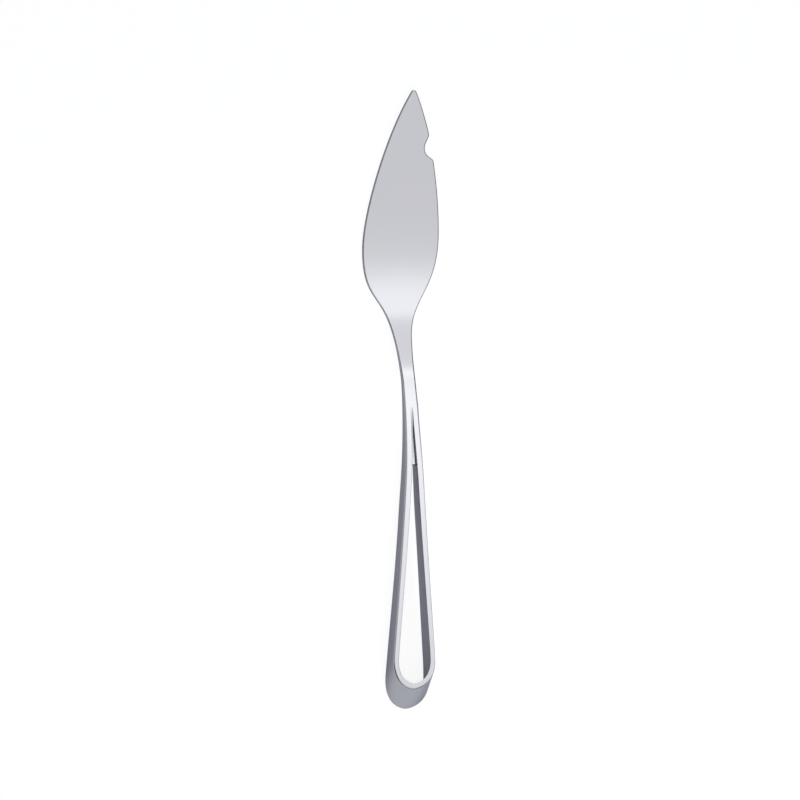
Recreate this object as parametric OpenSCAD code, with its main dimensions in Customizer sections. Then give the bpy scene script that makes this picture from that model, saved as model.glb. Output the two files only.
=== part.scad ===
// Fish knife, forged from one bar of stainless steel.
// The blade is a flat spatula with a bone notch near its tip, and it sits to the left of the
// handle's axis. The neck narrows, rises and stands on edge. At the crotch it divides into two
// straps, which part, run down the handle on edge and join again round its end in one slanted bow.
// A web left between the straps closes the first stretch of the gap.
// Heights along the knife are measured from the crotch, plus towards the tip.

/* [Blade] */
// Length from the crotch to the tip
blade_length = 107.4; // [95:0.1:126]
// Thickness of the blade
blade_thickness = 1.8; // [1.2:0.1:2.6]
// Reach of the left edge from the handle's axis
left_reach = 15.7; // [13:0.1:19]
// Height above the crotch at which the left edge reaches furthest
left_belly = 53.2; // [44.2:0.5:63.2]
// Reach of the right edge from the handle's axis
right_reach = 10.8; // [9.6:0.05:13]
// Height above the crotch at which the right edge reaches furthest
right_belly = 59.7; // [49.7:0.5:70]
// Radius of the rounded tip
tip_radius = 0.8; // [0.65:0.05:1]
// Distance of the tip to the right of the handle's axis
tip_offset = 2.2; // [1.8:0.1:2.7]

/* [Bone notch] */
// Distance from the tip down to the hook above the notch
hook_from_tip = 15.2; // [12.6:0.1:18]
// Reach of the hook from the handle's axis
hook_reach = 7.4; // [6.3:0.1:8.8]
// Distance from the hook down to the deepest place of the notch
notch_from_hook = 4.4; // [3.6:0.1:5.3]
// Reach of the notch's deepest place from the handle's axis
notch_reach = 5.9; // [4.9:0.1:7]
// Distance from the deepest place down to the heel below the notch
heel_from_notch = 5; // [4.1:0.1:6]
// Reach of the heel from the handle's axis
heel_reach = 9.05; // [7.6:0.05:10.7]

/* [Neck] */
// Height above the crotch at which the right edge comes nearest to the axis
neck_height = 24; // [19:0.5:29]
// Distance of the neck's right edge from the axis at that height
neck_right = 1.65; // [1.35:0.05:2]
// Height above the crotch at which the upper side starts to rise from the blade
rise_height = 35.5; // [29.5:0.5:42.5]
// Length over which the neck climbs
neck_length = 31; // [25.5:0.5:37]
// Height that the neck climbs above the blade
neck_rise = 8.2; // [6.8:0.1:9.8]
// Height above the crotch at which the bar starts to grow deeper
deepening_height = 25; // [20:0.5:30]
// Distance that the neck stands to the left of the handle's axis
neck_sway = 1.5; // [1.2:0.05:1.8]
// Height above the crotch at which the neck starts to lean to the left
sway_height = 38; // [31.5:0.5:45.5]
// Height above the crotch at which it stands furthest to the left
sway_full_height = 11; // [9.1:0.1:13.3]
// Height above the crotch at which it starts to come back
sway_return_height = 18; // [15:0.5:21.5]
// Distance below the crotch at which it has come back to the axis
sway_end = 25.6; // [21:0.1:30.6]

/* [Handle] */
// Length from the crotch to the lower edge of the bow
handle_length = 102.8; // [90:0.1:124]
// Width of the loop over its upper edges, at its widest
loop_width = 14.6; // [12:0.1:17.5]
// Length of the bow, from the loop's widest place to the bow's upper edge
bow_length = 9.5; // [7.8:0.1:11.4]
// Distance that the lower edge of the bow runs out past the upper edge
bow_slant = 7.35; // [6.1:0.05:8.75]
// Distance that the lower edge of the bow stands out sideways
bow_flare = 0.4; // [0:0.05:0.8]
// Angle by which each half of the bow falls short of square, which leaves a faint crease
bow_crease = 7; // [4:0.5:10]
// Distance that the lower edge of the bow is drawn to the left
bow_skew = 0.6; // [0.4:0.05:0.8]
// Thickness of each strap at the crotch
crotch_strap = 2.2; // [1.8:0.05:2.65]
// Thickness of the strap round the bow
bow_strap = 1.85; // [1.5:0.05:2.2]
// Height of the handle's crest above the table
crest_rise = 12; // [9.9:0.1:14.3]
// Distance of the crest below the crotch
crest_distance = 38; // [30:0.5:46]
// Fall of the upper edge from the crest to the bow
crest_fall = 1; // [0.5:0.1:1.5]
// Height of the underside above the table at the crest
arch_rise = 3.5; // [2.5:0.1:4.2]

/* [Split] */
// Width of the gap where the straps part
gap_start = 0.5; // [0.4:0.05:0.9]
// Length of the web that closes the gap below the crotch
web_length = 19.8; // [16:0.1:24]
// Depth of the web below the upper edges of the straps
web_drop = 2; // [1.6:0.1:2.4]

/* [Edges] */
// Radius of the blade's edges
blade_edge = 0.4; // [0.3:0.05:0.5]
// Radius of the handle's outer edges
edge_radius = 0.7; // [0.55:0.05:0.85]
// Radius of the edges inside the loop
inner_radius = 0.25; // [0.15:0.05:0.4]

/* [Hidden] */

// Slopes of the two edges where they leave the tip, in degrees from straight down
tip_left_angle = 32;
tip_right_angle = 26;

// How far the tangent at each end of a curve carries, as shares of the curve's height
left_upper_pull = [0.26, 0.23];
left_lower_pull = [0.45, 0.81];
tip_pull = [0.19, 0.10];
hook_pull = [0.22, 0.34];
heel_pull = [0.72, 0.42];
right_upper_pull = [0.02, 0.54];
right_lower_pull = [0.57, 0.41];
right_neck_pull = [0.55, 0.02];
gap_pull = [0.30, 0.06];
round_pull = 0.6;

// Share of the web's length over which the groove sinks to its full depth
groove_share = 0.7;

// Facets round a quarter of an edge, and spacing of the sections
edge_steps = 3;
tip_step = 12;
tip_turn = 72;
notch_margin = 1;
notch_step = 0.55;
neck_step = 1.8;
belly_step = 2.2;
arm_step = 3;
bow_steps = 9;
slope_step = 0.01;
halvings = 24;

// Places along the knife, from the crotch
tip_centre = [tip_offset, blade_length - tip_radius];
hook_y = blade_length - hook_from_tip;
notch_y = hook_y - notch_from_hook;
heel_y = notch_y - heel_from_notch;
belly_y = min(left_belly, right_belly);
crest_y = -crest_distance;
web_y = -web_length;
bow_top_y = bow_slant - handle_length;
wide_y = bow_top_y + bow_length;
groove_full_y = -groove_share * web_length;

// Half widths of the gap and of the neck, and the straps' depth at the crest
gap_half_start = gap_start / 2;
gap_half_wide = loop_width / 2 - bow_strap;
crotch_half = gap_half_start + crotch_strap;
crest_depth = crest_rise - arch_rise;

// Middle of the knife's box, which stands over the origin. The rounding of the bow's slanted lower
// edge stops short of the handle's full length
bow_slope = (bow_slant - bow_flare) / (crest_rise - crest_fall);
end_cut = edge_radius * (1 + bow_slope - sqrt(1 + pow(bow_slope, 2)));
mid_x = (max(right_reach, loop_width / 2 + bow_flare) - left_reach) / 2;
mid_y = (blade_length - handle_length + end_cut) / 2;

// Two even S curves from 0 to 1. The second has longer tails
function smooth(s) = let (c = min(1, max(0, s))) c * c * (3 - 2 * c);
function gentle(s) = let (c = min(1, max(0, s))) pow(c, 3) * (10 - 15 * c + 6 * c * c);
function unit(v) = v / norm(v);
function reversed(list) = [for (i = [len(list) - 1 : -1 : 0]) list[i]];

// Places from a down to b, b left out, no further apart than step
function spread(a, b, step) =
    let (count = ceil((a - b) / step)) [for (i = [0 : count - 1]) a - (a - b) * i / count];

function bezier(p, t) =
    pow(1 - t, 3) * p[0] + 3 * pow(1 - t, 2) * t * p[1] + 3 * (1 - t) * t * t * p[2] + pow(t, 3) * p[3];
function bezier_direction(p, t) = unit(
    pow(1 - t, 2) * (p[1] - p[0]) + 2 * (1 - t) * t * (p[2] - p[1]) + t * t * (p[3] - p[2]));

// Curve from a down to b. Slope is the sideways run for each millimetre of height at a
function run(a, b, pull, slope = 0) =
    let (drop = a[1] - b[1]) [a, a - pull[0] * drop * [slope, 1], b + [0, pull[1] * drop], b];

// Sideways place of a curve at height y, found by halving
function curve_x(p, y, low = 0, high = 1, left = halvings) =
    let (middle = (low + high) / 2)
    left == 0 ? bezier(p, middle)[0]
    : bezier(p, middle)[1] > y ? curve_x(p, y, middle, high, left - 1)
    : curve_x(p, y, low, middle, left - 1);
function chain_x(runs, y) = [for (p = runs) if (y <= p[0][1] && y >= p[3][1]) curve_x(p, y)][0];

// Outline: the two edges of blade and neck, from the tip down to the crotch
left_start = tip_centre + tip_radius * [-cos(tip_left_angle), sin(tip_left_angle)];
right_start = tip_centre + tip_radius * [cos(tip_right_angle), sin(tip_right_angle)];
left_runs = [
    run(left_start, [-left_reach, left_belly], left_upper_pull, tan(tip_left_angle)),
    run([-left_reach, left_belly], [-crotch_half, 0], left_lower_pull),
];
right_runs = [
    run(right_start, [hook_reach, hook_y], tip_pull, -tan(tip_right_angle)),
    run([hook_reach, hook_y], [notch_reach, notch_y], hook_pull),
    run([notch_reach, notch_y], [heel_reach, heel_y], heel_pull),
    run([heel_reach, heel_y], [right_reach, right_belly], right_upper_pull),
    run([right_reach, right_belly], [neck_right, neck_height], right_lower_pull),
    run([neck_right, neck_height], [crotch_half, 0], right_neck_pull),
];
gap_run = run([gap_half_start, 0], [gap_half_wide, wide_y], gap_pull);

function tip_x(y) = sqrt(max(0, pow(tip_radius, 2) - pow(y - tip_centre[1], 2)));
function gap_half(y) = curve_x(gap_run, y);
function strap(y) = crotch_strap + (bow_strap - crotch_strap) * smooth(y / wide_y);
function left_x(y) =
    y > left_start[1] ? tip_centre[0] - tip_x(y) : y > 0 ? chain_x(left_runs, y) : -gap_half(y) - strap(y);
function right_x(y) =
    y > right_start[1] ? tip_centre[0] + tip_x(y) : y > 0 ? chain_x(right_runs, y) : gap_half(y) + strap(y);

// Outward directions of the two edges in plan
function left_normal(y) =
    y <= 0 ? [-1, 0] : unit([-1, (left_x(y + slope_step) - left_x(y - slope_step)) / (2 * slope_step)]);
function right_normal(y) =
    y <= 0 ? [1, 0] : unit([1, (right_x(y - slope_step) - right_x(y + slope_step)) / (2 * slope_step)]);

// Side view: upper side, depth and underside at height y. Down to the crest the underside is the
// upper side less the bar's depth, and from there it comes down to the table
function top_z(y) =
    y > crest_y
    ? blade_thickness + neck_rise * gentle((rise_height - y) / neck_length)
        + (crest_rise - blade_thickness - neck_rise) * smooth((rise_height - y) / (rise_height - crest_y))
    : crest_rise - crest_fall * pow((crest_y - y) / (crest_y - bow_top_y), 2);
function bar_depth(y) = blade_thickness
    + (crest_depth - blade_thickness) * smooth((deepening_height - y) / (deepening_height - crest_y));
function bottom_z(y) =
    y > crest_y
    ? top_z(y) - bar_depth(y)
    : arch_rise * smooth((y + handle_length) / (crest_y + handle_length));
function groove_depth(y) = web_drop * sin(90 * min(1, y / groove_full_y));

// Rounded corner of a section, as pairs of inset and drop from the sharp corner.
// It runs from the flat side to the upright side
function corner(radius) =
    [for (i = [0 : edge_steps]) let (a = 90 * i / edge_steps) radius * [1 - sin(a), 1 - cos(a)]];

// One side of a section, from the underside up
function side_point(at, normal, inset, lift, drop) =
    let (p = at - normal * inset) [p[0], p[1], lift >= 0 ? bottom_z(p[1]) + lift : top_z(p[1]) - drop];
function edge_round(y) = blade_edge + (edge_radius - blade_edge) * smooth(1 - y / rise_height);
function side(at, normal) =
    let (arc = corner(edge_round(at[1])))
    concat(
        [for (c = arc) side_point(at, normal, c[0], c[1], 0)],
        [for (c = reversed(arc)) side_point(at, normal, c[0], -1, c[1])]);
function right_side(y) = side([right_x(y), y], right_normal(y));
function left_side(y) = reversed(side([left_x(y), y], left_normal(y)));

// Groove over the web, from the right strap's upper edge down, across and up to the left one's
function groove_half(y) =
    let (radius = min(inner_radius, groove_depth(y) / 2), x = gap_half(y))
    concat([for (c = corner(radius)) [x + c[0], top_z(y) - c[1]]], [[x, top_z(y) - groove_depth(y)]]);
function groove(y) = concat(
    [for (p = groove_half(y)) [p[0], y, p[1]]],
    [for (p = reversed(groove_half(y))) [-p[0], y, p[1]]]);

// Inner lower edges of the straps where the web ends, from the middle outwards and up
function under_edge(sign) =
    [for (c = corner(inner_radius)) [sign * (gap_half(web_y) + c[0]), web_y, bottom_z(web_y) + c[1]]];

// Section of the strap, as pairs of distance out from the inner face and height
function strap_section(thick, tall) =
    let (outer = corner(edge_radius), inner = corner(inner_radius))
    concat(
        [for (c = outer) [thick - c[0], tall - c[1]]],
        [for (c = reversed(outer)) [thick - c[0], c[1]]],
        [for (c = inner) c],
        [[0, tall - web_drop]],
        [for (c = reversed(inner)) [c[0], tall - c[1]]]);

// Strap at a place of its inner face. Lean goes from 0 to 1 as the straps take up the bow's slant
function strap_ring(at, normal, thick, lean) =
    let (
        run_out = lean * (bow_slant - bow_flare),
        low = bottom_z(at[1] - run_out),
        tall = top_z(at[1]) - low)
    [for (c = strap_section(thick, tall))
        let (
            sink = lean * (1 - c[1] / tall),
            p = at + normal * (c[0] + bow_flare * sink) - [0, (bow_slant - bow_flare) * sink])
        [p[0], p[1], low + c[1]]];

// Left half of the loop, from below the web to the middle of the bow
arm_places = [for (i = [1 : 1 : ceil((web_y - wide_y) / arm_step) - 1])
    web_y - (web_y - wide_y) * i / ceil((web_y - wide_y) / arm_step)];
bow_depth = bow_length - bow_strap;
bow_run = [
    [-gap_half_wide, wide_y],
    [-gap_half_wide, wide_y - round_pull * bow_depth],
    [-round_pull * gap_half_wide, wide_y - bow_depth + round_pull * gap_half_wide * tan(bow_crease)],
    [0, wide_y - bow_depth],
];
function outward(direction) = [direction[1], -direction[0]];
arm_rings = [for (y = arm_places)
    strap_ring([-gap_half(y), y], [-1, 0], strap(y), smooth((web_y - y) / (web_y - wide_y)))];
bow_rings = [for (i = [0 : bow_steps - 1])
    let (t = i / bow_steps, normal = outward(bezier_direction(bow_run, t)))
    strap_ring(bezier(bow_run, t), normal, bow_strap, 1)];
middle_ring = strap_ring(bow_run[3], [0, -1], bow_strap, 1);
half_loop = concat(arm_rings, bow_rings);
loop_rings = concat(
    half_loop,
    [middle_ring],
    [for (ring = reversed(half_loop)) [for (p = ring) [-p[0], p[1], p[2]]]]);

// Sections of blade and neck, tip first
plain_places = concat(
    [for (a = [tip_step : tip_step : tip_turn]) tip_centre[1] + tip_radius * cos(a)],
    spread(tip_centre[1], hook_y + notch_margin, belly_step),
    spread(hook_y + notch_margin, heel_y - notch_margin, notch_step),
    spread(heel_y - notch_margin, belly_y, belly_step),
    spread(belly_y, 0, neck_step));
groove_places = [for (y = spread(0, web_y, neck_step)) if (y < 0) y];

// Point numbers. Each ring lists them in the same slots, and slots of a feature that a section
// lacks repeat their neighbour, so that one rule joins all the rings
side_count = 2 * (edge_steps + 1);
groove_count = 2 * (edge_steps + 2);
plain_count = 2 * side_count;
grooved_count = plain_count + groove_count;
crotch_first = len(plain_places) * plain_count;
groove_first = crotch_first + plain_count + 1;
web_first = groove_first + len(groove_places) * grooved_count;
under_first = web_first + grooved_count;
loop_first = under_first + side_count;

function count_up(first, count) = [for (i = [0 : count - 1]) first + i];
function same(number, count) = [for (i = [1 : count]) number];
function plain_slots(first) = concat(
    count_up(first, side_count),
    same(first + side_count - 1, groove_count),
    count_up(first + side_count, side_count),
    same(first + plain_count - 1, 2));
crotch_slots = concat(
    count_up(crotch_first, side_count),
    same(crotch_first + side_count, groove_count),
    count_up(crotch_first + side_count + 1, side_count),
    same(crotch_first + plain_count, 2));
function grooved_slots(first) = concat(
    count_up(first, grooved_count),
    same(first + grooved_count - 1, 2));

// Where the web ends, the section's points pass on to the two straps
web_right = count_up(web_first, side_count);
web_groove = count_up(web_first + side_count, groove_count);
web_left = count_up(web_first + side_count + groove_count, side_count);
under_left = count_up(under_first, edge_steps + 1);
under_right = count_up(under_first + edge_steps + 1, edge_steps + 1);
web_slots = concat(web_right, web_groove, web_left, [under_left[0], under_right[0]]);
rim = edge_steps + 1;
left_strap_slots = concat(
    web_left, under_left, [web_groove[rim + 1]], [for (i = [rim + 2 : groove_count - 1]) web_groove[i]]);
right_strap_slots = concat(
    reversed(web_right), under_right, [web_groove[rim]], [for (i = [rim - 1 : -1 : 0]) web_groove[i]]);

body_slots = concat(
    [for (i = [0 : len(plain_places) - 1]) plain_slots(i * plain_count)],
    [crotch_slots],
    [for (i = [0 : len(groove_places) - 1]) grooved_slots(groove_first + i * grooved_count)],
    [web_slots]);
strap_count = len(middle_ring);
strap_slots = concat(
    [left_strap_slots],
    [for (i = [0 : len(loop_rings) - 1]) count_up(loop_first + i * strap_count, strap_count)],
    [right_strap_slots]);

straight_points = concat(
    [for (y = plain_places) each concat(right_side(y), left_side(y))],
    right_side(0), [[0, 0, top_z(0)]], left_side(0),
    [for (y = groove_places) each concat(right_side(y), groove(y), left_side(y))],
    right_side(web_y), groove(web_y), left_side(web_y),
    under_edge(-1), under_edge(1),
    [for (ring = loop_rings) each ring]);

// How far the neck stands off the handle's axis, minus to the left
function sway(y) =
    -neck_sway * smooth((sway_height - y) / (sway_height - sway_full_height))
    * smooth((y + sway_end) / (sway_return_height + sway_end));

// How far a point of the bow is drawn to the left: most at the middle of its lower edge
function draw(p) =
    bow_skew * smooth((wide_y - p[1]) / bow_length) * (1 - p[2] / crest_rise)
    * (1 - pow(2 * p[0] / (loop_width + 2 * bow_flare), 2));
knife_points = [for (p = straight_points) [p[0] + sway(p[1]) - draw(p), p[1], p[2]]];

// Faces between two rings, and between the two sides of an end
function between(a, b) = [for (i = [0 : len(a) - 1])
    let (j = (i + 1) % len(a)) each [[a[i], a[j], b[j]], [a[i], b[j], b[i]]]];
function joined(rings) = [for (i = [0 : len(rings) - 2]) each between(rings[i], rings[i + 1])];
function closed(left, right) = [for (i = [0 : len(left) - 2])
    each [[left[i], right[i], right[i + 1]], [left[i], right[i + 1], left[i + 1]]]];

tip_left = reversed(count_up(side_count, side_count));
tip_right = count_up(0, side_count);
web_end_left = concat(under_left, [web_groove[rim + 1]]);
web_end_right = concat(under_right, [web_groove[rim]]);
knife_faces = [
    for (f = concat(
        closed(tip_right, tip_left),
        joined(body_slots),
        closed(web_end_left, web_end_right),
        joined(strap_slots)))
    if (f[0] != f[1] && f[1] != f[2] && f[2] != f[0]) reversed(f)
];

module fish_knife() {
    color("silver")
        translate([-mid_x, -mid_y, 0])
            polyhedron(knife_points, knife_faces, convexity = 6);
}

fish_knife();
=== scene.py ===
import math

import bmesh
import bpy
import numpy as np
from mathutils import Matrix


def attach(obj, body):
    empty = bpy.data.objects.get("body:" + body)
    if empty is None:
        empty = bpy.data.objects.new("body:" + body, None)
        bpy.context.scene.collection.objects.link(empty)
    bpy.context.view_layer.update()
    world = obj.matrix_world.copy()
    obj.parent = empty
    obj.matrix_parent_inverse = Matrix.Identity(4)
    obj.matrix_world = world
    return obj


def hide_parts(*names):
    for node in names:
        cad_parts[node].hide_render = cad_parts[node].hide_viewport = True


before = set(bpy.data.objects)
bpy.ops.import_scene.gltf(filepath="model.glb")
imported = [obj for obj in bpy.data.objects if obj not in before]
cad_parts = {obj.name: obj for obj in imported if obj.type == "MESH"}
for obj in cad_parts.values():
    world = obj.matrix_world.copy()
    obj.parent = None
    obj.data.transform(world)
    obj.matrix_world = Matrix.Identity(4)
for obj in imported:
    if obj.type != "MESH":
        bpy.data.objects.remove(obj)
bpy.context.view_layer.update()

# Blade and neck. The whole knife is forged from one bar of stainless steel. The blade is a flat
# spatula with a bone notch near its tip, and the neck narrows, rises and turns on edge.
# Sizes are in millimetres and turns in degrees. Places are given sideways from the handle's axis,
# plus to the right, and in height along the knife, from the crotch towards the tip. Rises and falls
# are upright.
TIP_RADIUS = 0.8
TIP_CENTRE = np.array([2.2, 106.6])
TIP_LEFT_TURN = 58
TIP_RIGHT_TURN = 64
LEFT_BELLY = (-15.7, 53.2)
RIGHT_BELLY = (10.8, 59.7)
HOOK = (7.4, 92.2)
NOTCH = (5.9, 87.8)
HEEL = (9.05, 82.8)
NECK = (1.65, 24.0)
CROTCH_HALF = 2.45
BLADE_THICKNESS = 1.8
RISE_START, NECK_LENGTH, NECK_RISE = 35.5, 31.0, 8.2
CREST_HEIGHT, CREST_RISE, CREST_FALL = -38.0, 12.0, 1.0
DEEPENING_START, CREST_DEPTH = 25.0, 8.5
SWAY, SWAY_START, SWAY_FULL, SWAY_RETURN, SWAY_END = 1.5, 38.0, 11.0, 18.0, -25.6
BOW_TOP, HANDLE_END = -95.45, -102.8
BLADE_EDGE, EDGE_RADIUS = 0.4, 0.7
ROUND_STEPS = 6
CURVE_SAMPLES = 600
SLOPE_STEP = 0.01
TINY = 1e-9
MM = 0.001

# How far the two tangent handles of each edge reach, as shares of the edge's drop.
LEFT_UPPER_PULL, LEFT_LOWER_PULL = (0.26, 0.23), (0.45, 0.81)
TIP_PULL, HOOK_PULL, HEEL_PULL = (0.19, 0.10), (0.22, 0.34), (0.72, 0.42)
RIGHT_UPPER_PULL, RIGHT_LOWER_PULL, RIGHT_NECK_PULL = (0.02, 0.54), (0.57, 0.41), (0.55, 0.02)


def smooth(share):
    """An even S from 0 to 1: three times the square less twice the cube, held at both ends."""
    held = np.clip(share, 0, 1)
    return held * held * (3 - 2 * held)


def gentle(share):
    """An even S with longer tails: six times the fifth power, less fifteen times the fourth, plus
    ten times the cube."""
    held = np.clip(share, 0, 1)
    return held**3 * (10 - 15 * held + 6 * held**2)


def bezier(handles, t):
    """Cubic curve on four handles: each handle times its share at t, added up."""
    t = np.asarray(t, float)[..., None]
    a, b, c, d = np.asarray(handles, float)
    return (1 - t) ** 3 * a + 3 * (1 - t) ** 2 * t * b + 3 * (1 - t) * t**2 * c + t**3 * d


def run(start, end, pull, slope=0.0):
    """Handles of an edge from start down to end. Each tangent handle lies its pull times the drop
    away from its end, along the slope at the start and straight up at the end."""
    drop = start[1] - end[1]
    return [
        start,
        (start[0] - pull[0] * drop * slope, start[1] - pull[0] * drop),
        (end[0], end[1] + pull[1] * drop),
        end,
    ]


def turned(degrees):
    """Point of the tip's arc that lies this far round from straight up, plus to the right."""
    a = math.radians(degrees)
    return TIP_CENTRE + TIP_RADIUS * np.array([math.sin(a), math.cos(a)])


def chain(runs):
    """Close samples along a chain of edge curves, with rising heights for interpolation."""
    points = np.concatenate([bezier(r, np.linspace(0, 1, CURVE_SAMPLES)) for r in runs])[::-1]
    return points[:, 1], points[:, 0]


left_start, right_start = turned(-TIP_LEFT_TURN), turned(TIP_RIGHT_TURN)
left_chain = chain([
    run(left_start, LEFT_BELLY, LEFT_UPPER_PULL, math.tan(math.radians(90 - TIP_LEFT_TURN))),
    run(LEFT_BELLY, (-CROTCH_HALF, 0), LEFT_LOWER_PULL),
])
right_chain = chain([
    run(right_start, HOOK, TIP_PULL, -math.tan(math.radians(90 - TIP_RIGHT_TURN))),
    run(HOOK, NOTCH, HOOK_PULL),
    run(NOTCH, HEEL, HEEL_PULL),
    run(HEEL, RIGHT_BELLY, RIGHT_UPPER_PULL),
    run(RIGHT_BELLY, NECK, RIGHT_LOWER_PULL),
    run(NECK, (CROTCH_HALF, 0), RIGHT_NECK_PULL),
])


def top_z(y):
    """Upper side: level on the blade, up the neck by one even S and on to the crest by a flatter
    one, then down to the bow by a parabola."""
    rising = (BLADE_THICKNESS + NECK_RISE * gentle((RISE_START - y) / NECK_LENGTH)
              + (CREST_RISE - BLADE_THICKNESS - NECK_RISE)
              * smooth((RISE_START - y) / (RISE_START - CREST_HEIGHT)))
    falling = CREST_RISE - CREST_FALL * ((CREST_HEIGHT - y) / (CREST_HEIGHT - BOW_TOP)) ** 2
    return np.where(y > CREST_HEIGHT, rising, falling)


def bottom_z(y):
    """Underside: the upper side less the bar's depth, which grows by an even S from the blade's
    thickness to the depth at the crest. From the crest to the end it comes down to the table."""
    depth = BLADE_THICKNESS + (CREST_DEPTH - BLADE_THICKNESS) * smooth(
        (DEEPENING_START - y) / (DEEPENING_START - CREST_HEIGHT))
    arch = (CREST_RISE - CREST_DEPTH) * smooth((y - HANDLE_END) / (CREST_HEIGHT - HANDLE_END))
    return np.where(y > CREST_HEIGHT, top_z(y) - depth, arch)


def sway(y):
    """How far points are moved aside, less than 0 to the left: out by one even S down the neck,
    and back by another that ends below the crotch."""
    return (-SWAY * smooth((SWAY_START - y) / (SWAY_START - SWAY_FULL))
            * smooth((y - SWAY_END) / (SWAY_RETURN - SWAY_END)))


def edge_round(y):
    """Radius of the outer edges, which eases from the blade's to the handle's along the neck."""
    return BLADE_EDGE + (EDGE_RADIUS - BLADE_EDGE) * smooth(1 - y / RISE_START)


def rounding(radius):
    """Quarter circle of an edge, from the flat side to the upright one: how far each point lies
    in from the upright side and down from the flat one."""
    a = np.radians(np.linspace(0, 90, ROUND_STEPS + 1))
    return radius * (1 - np.sin(a)), radius * (1 - np.cos(a))


# Loop handle. Below the crotch the bar divides into two straps that stand on edge, part, and meet
# again round the end in one slanted bow. A web left between them closes the first stretch.
WEB_END, WEB_DROP, GROOVE_FULL = -19.8, 2.0, -13.86
WIDE_HEIGHT = -85.95
GAP_START, GAP_WIDE, GAP_PULL = 0.25, 5.45, (0.30, 0.06)
CROTCH_STRAP, BOW_STRAP = 2.2, 1.85
BOW_DEPTH, BOW_SLANT, BOW_FLARE = 7.65, 7.35, 0.4
CREASE_TURN, BOW_PULL, BOW_SKEW = 7, 0.60, 0.6
INNER_RADIUS = 0.25
NARROW_SHARE = 0.2
WEB_COLUMNS = 3
ARM_STEPS, BOW_STEPS = 80, 56
CREASE_SHARES = [0.98, 0.995]
SHARE_STEP = 1e-4

gap_chain = chain([run((GAP_START, 0), (GAP_WIDE, WIDE_HEIGHT), GAP_PULL)])


def gap_half(y):
    """Half width of the gap between the straps."""
    return np.interp(y, *gap_chain)


def strap(y):
    """Thickness of a strap, which eases from the crotch's to the bow's."""
    return CROTCH_STRAP + (BOW_STRAP - CROTCH_STRAP) * smooth(y / WIDE_HEIGHT)


def edge(y, side):
    """Sideways place and outward direction of the outline at heights y, side -1 left or 1 right.
    The tip is an arc, the blade and neck follow their chain, and a strap's outside is the gap's
    half width plus its thickness."""
    start = left_start if side < 0 else right_start
    on_arc, on_strap = y > start[1], y <= 0
    reach = np.sqrt(np.clip(TIP_RADIUS**2 - (y - TIP_CENTRE[1]) ** 2, 0, None))
    knots = left_chain if side < 0 else right_chain

    def along(h):
        return np.interp(h, *knots)

    x = np.where(on_arc, TIP_CENTRE[0] + side * reach,
                 np.where(on_strap, side * (gap_half(y) + strap(y)), along(y)))
    lean = (along(y + SLOPE_STEP) - along(y - SLOPE_STEP)) / (2 * SLOPE_STEP)
    length = np.hypot(1, lean)
    nx = np.where(on_arc, side * reach / TIP_RADIUS, np.where(on_strap, side, side / length))
    ny = np.where(on_arc, (y - TIP_CENTRE[1]) / TIP_RADIUS,
                  np.where(on_strap, 0, -side * lean / length))
    return x, nx, ny


def outer_side(y, side):
    """Outer side of the sections at heights y, from the underside up, as (station, point, xyz):
    the outline moved in by the rounding, at the underside plus the rounding or the top less it."""
    x, nx, ny = (v[:, None] for v in edge(y, side))
    inset, drop = (edge_round(y)[:, None] * v for v in rounding(1.0))
    inset = np.concatenate([inset, inset[:, ::-1]], 1)
    px, py = x - nx * inset, y[:, None] - ny * inset
    count = drop.shape[1]
    low = bottom_z(py[:, :count]) + drop
    high = top_z(py[:, count:]) - drop[:, ::-1]
    return np.stack([px, py, np.concatenate([low, high], 1)], 2)


def across(left, right, shares, surface):
    """Points at these shares of the straight way from left to right, on the surface top_z or
    bottom_z."""
    flat = left[:, None, :2] + shares[..., None] * (right - left)[:, None, :2]
    return np.concatenate([flat, surface(flat[..., 1:])], 2)


def bar_sections(y):
    """Sections of blade, neck and web at heights y, as (station, point, xyz): the right side up,
    the top with its groove, the left side down, and the underside back to the right. The groove
    sinks by a quarter of a sine wave, and its columns draw in where the bar is narrow."""
    right, left = outer_side(y, 1), outer_side(y, -1)[:, ::-1]
    top_right, top_left = right[:, -1], left[:, 0]
    low_left, low_right = left[:, -1], right[:, 0]
    width = top_right[:, 0] - top_left[:, 0]
    half = np.where(y > 0, np.minimum(GAP_START, NARROW_SHARE * width), gap_half(y))
    depth = np.where(y < 0, WEB_DROP * np.sin(np.radians(90 * np.clip(y / GROOVE_FULL, 0, 1))), 0)
    radius = np.minimum(INNER_RADIUS, depth / 2)
    inset, drop = rounding(1.0)
    rim = np.concatenate([half[:, None] + radius[:, None] * inset, half[:, None]], 1)
    sunk = np.concatenate([radius[:, None] * drop, depth[:, None]], 1)
    floor = half[:, None] * np.linspace(1, -1, WEB_COLUMNS + 2)[1:-1]
    offset = np.concatenate([rim, floor, -rim[:, ::-1]], 1)
    sinking = np.concatenate([sunk, depth[:, None] + 0 * floor, sunk[:, ::-1]], 1)
    top = across(top_left, top_right, 0.5 + offset / np.maximum(width, TINY)[:, None], top_z)
    top[..., 2] -= sinking
    web_half = gap_half(WEB_END)
    reach = (web_half + INNER_RADIUS) / (2 * (web_half + strap(WEB_END) - EDGE_RADIUS))
    shares = 0.5 + reach * np.linspace(-1, 1, WEB_COLUMNS + 2)
    under = across(low_left, low_right, shares[None] + 0 * y[:, None], bottom_z)
    return np.concatenate([right, top, left, under], 1)


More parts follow.
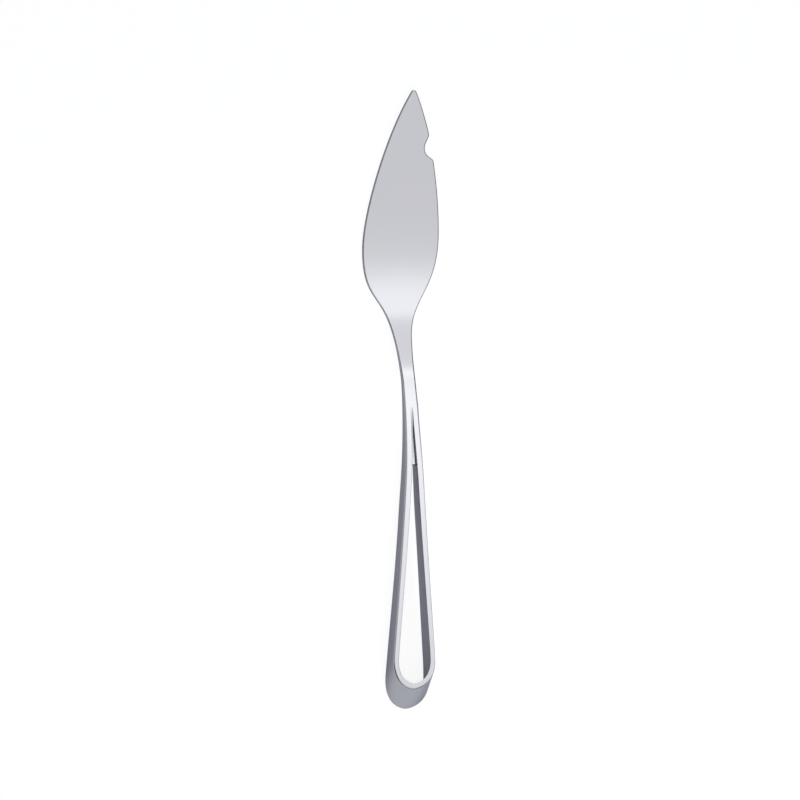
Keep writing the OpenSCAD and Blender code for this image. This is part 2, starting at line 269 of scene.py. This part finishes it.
def strap_sections(at, normal, thick, lean):
    """Sections of a strap, as (station, point, xyz). A section is a rounded bar that runs out from
    the inner face along the normal. As lean goes from 0 to 1 its lower edge runs out by the bow's
    slant, in step with the drop below the upper edge: the flare's share of it along the normal, and
    the rest towards the handle's end."""
    run_out = lean * (BOW_SLANT - BOW_FLARE)
    low = bottom_z(at[:, 1] - run_out)[:, None]
    tall = top_z(at[:, 1])[:, None] - low
    thick, none = thick[:, None], 0 * low
    outer_in, outer_down = rounding(EDGE_RADIUS)
    inner_in, inner_down = rounding(INNER_RADIUS)
    out = np.concatenate([
        thick - outer_in, thick - outer_in[::-1], none + inner_in, none, none + inner_in[::-1]], 1)
    up = np.concatenate([
        tall - outer_down, none + outer_down[::-1], none + inner_down, tall - WEB_DROP,
        tall - inner_down[::-1]], 1)
    sink = lean[:, None] * (1 - up / tall)
    flat = at[:, None] + normal[:, None] * (out + BOW_FLARE * sink)[..., None]
    flat[..., 1] -= (BOW_SLANT - BOW_FLARE) * sink
    return np.concatenate([flat, (low + up)[..., None]], 2)


def loop_sections():
    """Sections all round the loop: down the left arm, round the bow and up the right arm, which
    is the left half turned over. The bow's last sections stand close to its crease."""
    y = np.linspace(WEB_END, WIDE_HEIGHT, ARM_STEPS)
    arm = strap_sections(
        np.stack([-gap_half(y), y], 1), np.array([[-1.0, 0.0]]) + 0 * y[:, None], strap(y),
        smooth((WEB_END - y) / (WEB_END - WIDE_HEIGHT)))
    foot = WIDE_HEIGHT - BOW_DEPTH
    rise = BOW_PULL * GAP_WIDE * math.tan(math.radians(CREASE_TURN))
    bow = [(-GAP_WIDE, WIDE_HEIGHT), (-GAP_WIDE, WIDE_HEIGHT - BOW_PULL * BOW_DEPTH),
           (-BOW_PULL * GAP_WIDE, foot + rise), (0, foot)]
    t = np.concatenate([np.linspace(0, CREASE_SHARES[0], BOW_STEPS)[1:], CREASE_SHARES[1:]])
    at = bezier(bow, t)
    ahead = bezier(bow, t + SHARE_STEP) - at
    ahead /= np.linalg.norm(ahead, axis=1)[:, None]
    quarter = strap_sections(
        at, np.stack([ahead[:, 1], -ahead[:, 0]], 1), BOW_STRAP + 0 * t, 1 + 0 * t)
    middle = strap_sections(
        np.array([[0, foot]]), np.array([[0, -1.0]]), np.array([BOW_STRAP]), np.array([1.0]))
    half = np.concatenate([arm, quarter])
    return np.concatenate([half, middle, half[::-1] * (-1, 1, 1)])


def draw(p):
    """How far points of the bow are drawn to the left: most at the middle of its lower edge, less
    by the square of the share of the half width, and less in step with the rise from the table."""
    half = GAP_WIDE + BOW_STRAP + BOW_FLARE
    length = BOW_DEPTH + BOW_STRAP
    return (BOW_SKEW * smooth((WIDE_HEIGHT - p[:, 1]) / length) * (1 - p[:, 2] / CREST_RISE)
            * (1 - (p[:, 0] / half) ** 2))


def web_end_wall():
    """Flat end of the web: straight rows between the two straps' inner faces, from the groove's
    floor down over the roundings of the lower edges."""
    inset, up = rounding(INNER_RADIUS)
    half, low = gap_half(WEB_END), float(bottom_z(WEB_END))
    x = half + np.concatenate([[0], inset[::-1]])
    z = np.concatenate([[float(top_z(WEB_END)) - WEB_DROP], low + up[::-1]])
    x = x[:, None] * np.linspace(-1, 1, WEB_COLUMNS + 2)
    return np.stack([x, WEB_END + 0 * x, z[:, None] + 0 * x], 2)


def grid_faces(rows, columns, first, closed):
    """Quads between neighbouring rows and columns of a grid of points, numbered row by row from
    first. A closed grid joins its last column to its first."""
    number = first + np.arange(rows * columns).reshape(rows, columns)
    if closed:
        number = np.concatenate([number, number[:, :1]], 1)
    return np.stack([number[:-1, :-1], number[:-1, 1:], number[1:, 1:], number[1:, :-1]], 2).reshape(-1, 4)


# The bar's sections go round the tip's arc and then down to each height in so many steps. They
# stand closest round the notch.
ARC_TURN, ARC_SECTIONS = 86, 22
NOTCH_MARGIN = 1
STRETCHES = [
    (HOOK[1] + NOTCH_MARGIN, 15), (HEEL[1] - NOTCH_MARGIN, 75), (LEFT_BELLY[1], 31), (0, 74), (WEB_END, 44)]
heights = TIP_CENTRE[1] + TIP_RADIUS * np.cos(np.radians(np.linspace(0, ARC_TURN, ARC_SECTIONS)))
begin = TIP_CENTRE[1]
for end, steps in STRETCHES:
    heights = np.concatenate([heights, np.linspace(begin, end, steps + 1)[1:]])
    begin = end

parts = [(bar_sections(heights), True), (loop_sections(), True), (web_end_wall(), False)]
points, faces, count = [], [], 0
for grid, closed in parts:
    points.append(grid.reshape(-1, 3))
    faces.append(grid_faces(grid.shape[0], grid.shape[1], count, closed))
    count += grid.shape[0] * grid.shape[1]
points, faces = np.concatenate(points), np.concatenate(faces)
points[:, 0] += sway(points[:, 1]) - draw(points)

# The knife's box stands over the origin, so the handle's axis lies to the right of the middle.
# Points that fall together are merged, and the merging distances are in metres.
MIDDLE = np.array([-2.45, 2.457, 0])
MERGED_BELOW, SHORTEST_EDGE = 1e-6, 1e-7
knife_mesh = bpy.data.meshes.new("knife")
knife_mesh.from_pydata(((points - MIDDLE) * MM).tolist(), [], faces.tolist())
seams = bmesh.new()
seams.from_mesh(knife_mesh)
bmesh.ops.remove_doubles(seams, verts=seams.verts, dist=MERGED_BELOW)
bmesh.ops.dissolve_degenerate(seams, edges=seams.edges, dist=SHORTEST_EDGE)
bmesh.ops.recalc_face_normals(seams, faces=seams.faces)
seams.to_mesh(knife_mesh)
seams.free()
knife_mesh.shade_smooth()
knife = bpy.data.objects.new("knife", knife_mesh)
bpy.context.scene.collection.objects.link(knife)
weighted = knife.modifiers.new("flat sides keep their light", "WEIGHTED_NORMAL")
weighted.keep_sharp = True
weighted.weight = 100


class Socket:
    """A shader value. Operators and abs add Math nodes."""

    def __init__(self, finish, output):
        self.finish, self.output = finish, output

    def math(self, operation, a, b):
        return self.finish.node("ShaderNodeMath", {"operation": operation}, {0: a, 1: b})

    def __add__(self, other):
        return self.math("ADD", self, other)

    def __sub__(self, other):
        return self.math("SUBTRACT", self, other)

    def __rsub__(self, other):
        return self.math("SUBTRACT", other, self)

    def __mul__(self, other):
        return self.math("MULTIPLY", self, other)

    def __abs__(self):
        return self.finish.node("ShaderNodeMath", {"operation": "ABSOLUTE"}, {0: self})

    __radd__, __rmul__ = __add__, __mul__


class Finish:
    """A material, world or lamp under construction. node() makes one node of a type, with its
    settings and the values or links of its sockets, and gives its output back."""

    def __init__(self, owner):
        owner.use_nodes = True
        self.tree = owner.node_tree
        self.tree.nodes.clear()

    def node(self, kind, settings=(), sockets=(), output=0):
        made = self.tree.nodes.new(kind)
        for name, value in dict(settings).items():
            setattr(made, name, value)
        for name, value in dict(sockets).items():
            if isinstance(value, Socket):
                self.tree.links.new(value.output, made.inputs[name])
            else:
                made.inputs[name].default_value = value
        return Socket(self, made.outputs[output]) if made.outputs else None


# The steel is polished to a satin along the knife, which leaves fine lines, and it has faint clouds
# of a green and a violet grey. Its tint keeps it from turning white where it is seen at a low angle.
# A Mix node has its colours at inputs 6 and 7 and at output 2.
LINES_ACROSS, LINES_ALONG, LINES_DETAIL = 2600, 60, 3.0
LINES_STRENGTH, LINES_DEPTH = 0.05, 0.00002
CLOUDS_SCALE, CLOUDS_DETAIL = 42.0, 4.0
GREEN_GREY, VIOLET_GREY = (0.351, 0.364, 0.376, 1), (0.364, 0.357, 0.387, 1)
LOW_ANGLE_TINT = (0.41, 0.41, 0.45, 1)
SATIN, UNEVEN = 0.22, 0.03
steel = bpy.data.materials.new("satin_polished_steel")
finish = Finish(steel)
place = finish.node("ShaderNodeTexCoord", output="Object")
lengthwise = finish.node("ShaderNodeMapping", sockets={
    "Vector": place, "Scale": (LINES_ACROSS, LINES_ALONG, LINES_ACROSS)})
lines = finish.node("ShaderNodeTexNoise", sockets={
    "Vector": lengthwise, "Scale": 1.0, "Detail": LINES_DETAIL})
cloud = finish.node("ShaderNodeTexNoise", sockets={
    "Vector": place, "Scale": CLOUDS_SCALE, "Detail": CLOUDS_DETAIL})
tone = finish.node(
    "ShaderNodeMix", {"data_type": "RGBA"}, {"Factor": cloud, 6: GREEN_GREY, 7: VIOLET_GREY}, output=2)
bump = finish.node("ShaderNodeBump", sockets={
    "Strength": LINES_STRENGTH, "Distance": LINES_DEPTH, "Height": lines})
shader = finish.node("ShaderNodeBsdfPrincipled", sockets={
    "Base Color": tone, "Metallic": 1.0, "Roughness": SATIN + UNEVEN * lines + UNEVEN * cloud,
    "Specular Tint": LOW_ANGLE_TINT, "Normal": bump})
finish.node("ShaderNodeOutputMaterial", sockets={"Surface": shader})
knife_mesh.materials.append(steel)
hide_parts("fish_knife")
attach(knife, "root")

# Floor. A plain sheet of matt white board, which fills the picture from all but the lowest angles.
# It lies a hair below the blade, glows white to the camera and keeps the knife's shadow. From here
# on sizes are in metres.
FLOOR_HALF, FLOOR_Z = 4.0, -0.00005
BOARD_COLOR, BOARD_GLOW = (0.72, 0.735, 0.775, 1), 1.03
GLOW_SEEN, GLOW_IN_METAL = 0.84, 0.2
WHITE = (1, 1, 1, 1)
floor_mesh = bpy.data.meshes.new("floor")
floor_mesh.from_pydata(
    [(x * FLOOR_HALF, y * FLOOR_HALF, FLOOR_Z) for x, y in ((-1, -1), (1, -1), (1, 1), (-1, 1))],
    [], [(0, 1, 2, 3)])
floor = bpy.data.objects.new("floor", floor_mesh)
bpy.context.scene.collection.objects.link(floor)
board = bpy.data.materials.new("white_board")
finish = Finish(board)
by_camera, by_metal = (
    finish.node("ShaderNodeLightPath", output=name) for name in ("Is Camera Ray", "Is Glossy Ray"))
matt = finish.node("ShaderNodeBsdfDiffuse", sockets={"Color": BOARD_COLOR})
white = finish.node("ShaderNodeEmission", sockets={"Color": WHITE, "Strength": BOARD_GLOW})
share = GLOW_SEEN * by_camera + GLOW_IN_METAL * by_metal
shader = finish.node("ShaderNodeMixShader", sockets={0: share, 1: matt, 2: white})
finish.node("ShaderNodeOutputMaterial", sockets={"Surface": shader})
floor_mesh.materials.append(board)

# Light. A white tent that is open towards both long sides of the knife, a little brighter beyond
# the tip and dim near the table, and a soft panel low over the knife. Places in the tent are
# directions of length 1, which reach so far aside, ahead beyond the tip, and above.
TENT_GLOW, BRIGHTER_AHEAD, BRIGHTEST_AHEAD, TENT_FAR_GLOW = 1.61, 0.03, 0.45, 1.86
OPEN_ASIDE, DARK_ASIDE, SIDE_GLOW = 0.35, 0.7, 0.08
DIM_ABOVE, BRIGHT_ABOVE, LOW_GLOW = 0.0, 0.45, 0.12
world = bpy.data.worlds.new("white_tent")
bpy.context.scene.world = world
finish = Finish(world)


def ramp(value, start, end, low, high):
    """Value's way from start to end, as an even S from low to high."""
    return value.finish.node("ShaderNodeMapRange", {"interpolation_type": "SMOOTHSTEP"}, {
        "Value": value, "From Min": start, "From Max": end, "To Min": low, "To Max": high})


sky = finish.node("ShaderNodeTexCoord", output="Generated")
aside, ahead, above = (
    finish.node("ShaderNodeSeparateXYZ", sockets={0: sky}, output=axis) for axis in "XYZ")
tent = (ramp(ahead, BRIGHTER_AHEAD, BRIGHTEST_AHEAD, TENT_GLOW, TENT_FAR_GLOW)
        * ramp(abs(aside), OPEN_ASIDE, DARK_ASIDE, 1.0, SIDE_GLOW)
        * ramp(above, DIM_ABOVE, BRIGHT_ABOVE, LOW_GLOW, 1.0))
shader = finish.node("ShaderNodeBackground", sockets={"Color": WHITE, "Strength": tent})
finish.node("ShaderNodeOutputWorld", sockets={"Surface": shader})

# The panel is a wide sheet that reaches from over the blade to beyond the handle's end, and the camera
# sees its mirror image in the knife. Places on it are shares: up from 0 at its foot to 1 at its top, and
# from the axis to -1 at its left side and 1 at its right one.
CAMERA_LEAN = math.radians(13.7)
PANEL_Z, PANEL_WIDTH = 0.05, 0.32
PANEL_TOP, PANEL_FOOT = 0.066, -0.150
panel_length = PANEL_TOP - PANEL_FOOT
lamp = bpy.data.lights.new("handle_panel", "AREA")
lamp.shape = "RECTANGLE"
lamp.size, lamp.size_y = PANEL_WIDTH, panel_length
lamp.energy = math.pi * PANEL_WIDTH * panel_length
finish = Finish(lamp)
spot = finish.node("ShaderNodeNewGeometry", output="Parametric")
across_panel = finish.node("ShaderNodeSeparateXYZ", sockets={0: spot}, output="X")
up = finish.node("ShaderNodeSeparateXYZ", sockets={0: spot}, output="Y")
from_axis = 2 * across_panel - 1

# The panel's middle glows. It has a faint border at its top and a dimmer seam below that, fades towards
# its foot, and is widest over the handle.
MIDDLE_GLOW = 0.985
BORDER, BORDER_GLOW, GLOW_FULL = 0.92, 0.08, 0.859
SEAM, SEAM_HALF, SEAM_GLOW = 0.787, 0.08, 0.66
FADE_START, FADE_END, FADED_GLOW = 0.705, 0.236, 0.25
WIDEST, NARROWING = 0.425, 9
CORE_HALF, GLOW_HALF = 0.17, 0.65
upper_edge = ramp(up, 1.0, BORDER, 0.0, BORDER_GLOW) + ramp(up, BORDER, GLOW_FULL, 0.0, 1.0 - BORDER_GLOW)
seam = ramp(abs(up - SEAM), 0.0, SEAM_HALF, SEAM_GLOW, 1.0)
fade = finish.node("ShaderNodeMapRange", {}, {
    "Value": up, "From Min": FADE_END, "From Max": FADE_START, "To Min": FADED_GLOW, "To Max": 1.0})
from_widest = up - WIDEST
narrowed = abs(from_axis) * (1 + NARROWING * from_widest * from_widest)
glow = MIDDLE_GLOW * upper_edge * fade * seam * ramp(narrowed, CORE_HALF, GLOW_HALF, 1.0, 0.0)

# Two side sheets light the edges of the handle. Each rises from nothing to its glow over a margin.
RIGHT_GLOW, RIGHT_INNER, RIGHT_FULL = 2.2, 0.08, 0.25
RIGHT_TOP, RIGHT_FULL_TOP = 0.72, 0.63
LEFT_GLOW, LEFT_INNER, LEFT_FULL = 0.9, -0.2, -0.42
LEFT_TOP, LEFT_FULL_TOP, LEFT_FOOT, LEFT_FULL_FOOT = 0.77, 0.71, 0.2, 0.3
right_sheet = (ramp(from_axis, RIGHT_INNER, RIGHT_FULL, 0.0, RIGHT_GLOW)
               * ramp(up, RIGHT_TOP, RIGHT_FULL_TOP, 0.0, 1.0))
left_sheet = (ramp(from_axis, LEFT_INNER, LEFT_FULL, 0.0, LEFT_GLOW)
              * ramp(up, LEFT_TOP, LEFT_FULL_TOP, 0.0, 1.0) * ramp(up, LEFT_FOOT, LEFT_FULL_FOOT, 0.0, 1.0))
shader = finish.node("ShaderNodeEmission", sockets={
    "Color": WHITE, "Strength": glow + right_sheet + left_sheet})
finish.node("ShaderNodeOutputLight", sockets={"Surface": shader})
panel = bpy.data.objects.new("handle_panel", lamp)
panel.location = (PANEL_Z * math.tan(CAMERA_LEAN), (PANEL_TOP + PANEL_FOOT) / 2, PANEL_Z)
bpy.context.scene.collection.objects.link(panel)

# Camera. A long lens that leans to the left of straight above, as the photo was taken. The frame is
# as wide as it is tall, and its middle lies a hair from the knife's. The lens and its sensor are in
# millimetres.
FRAME_WIDTH = 0.2714
LENS, SENSOR = 1000.0, 36.0
AIM_X, AIM_Y = 0.00008, -0.00018
NEAREST, FARTHEST = 0.1, 100
eye = bpy.data.cameras.new("camera")
eye.lens, eye.sensor_width = LENS, SENSOR
eye.clip_start, eye.clip_end = NEAREST, FARTHEST
camera = bpy.data.objects.new("camera", eye)
bpy.context.scene.collection.objects.link(camera)
distance = FRAME_WIDTH * LENS / SENSOR
camera.location = (AIM_X - distance * math.sin(CAMERA_LEAN), AIM_Y, distance * math.cos(CAMERA_LEAN))
camera.rotation_euler = (0, -CAMERA_LEAN, 0)
bpy.context.scene.camera = camera
bpy.context.scene.view_settings.view_transform = "Standard"
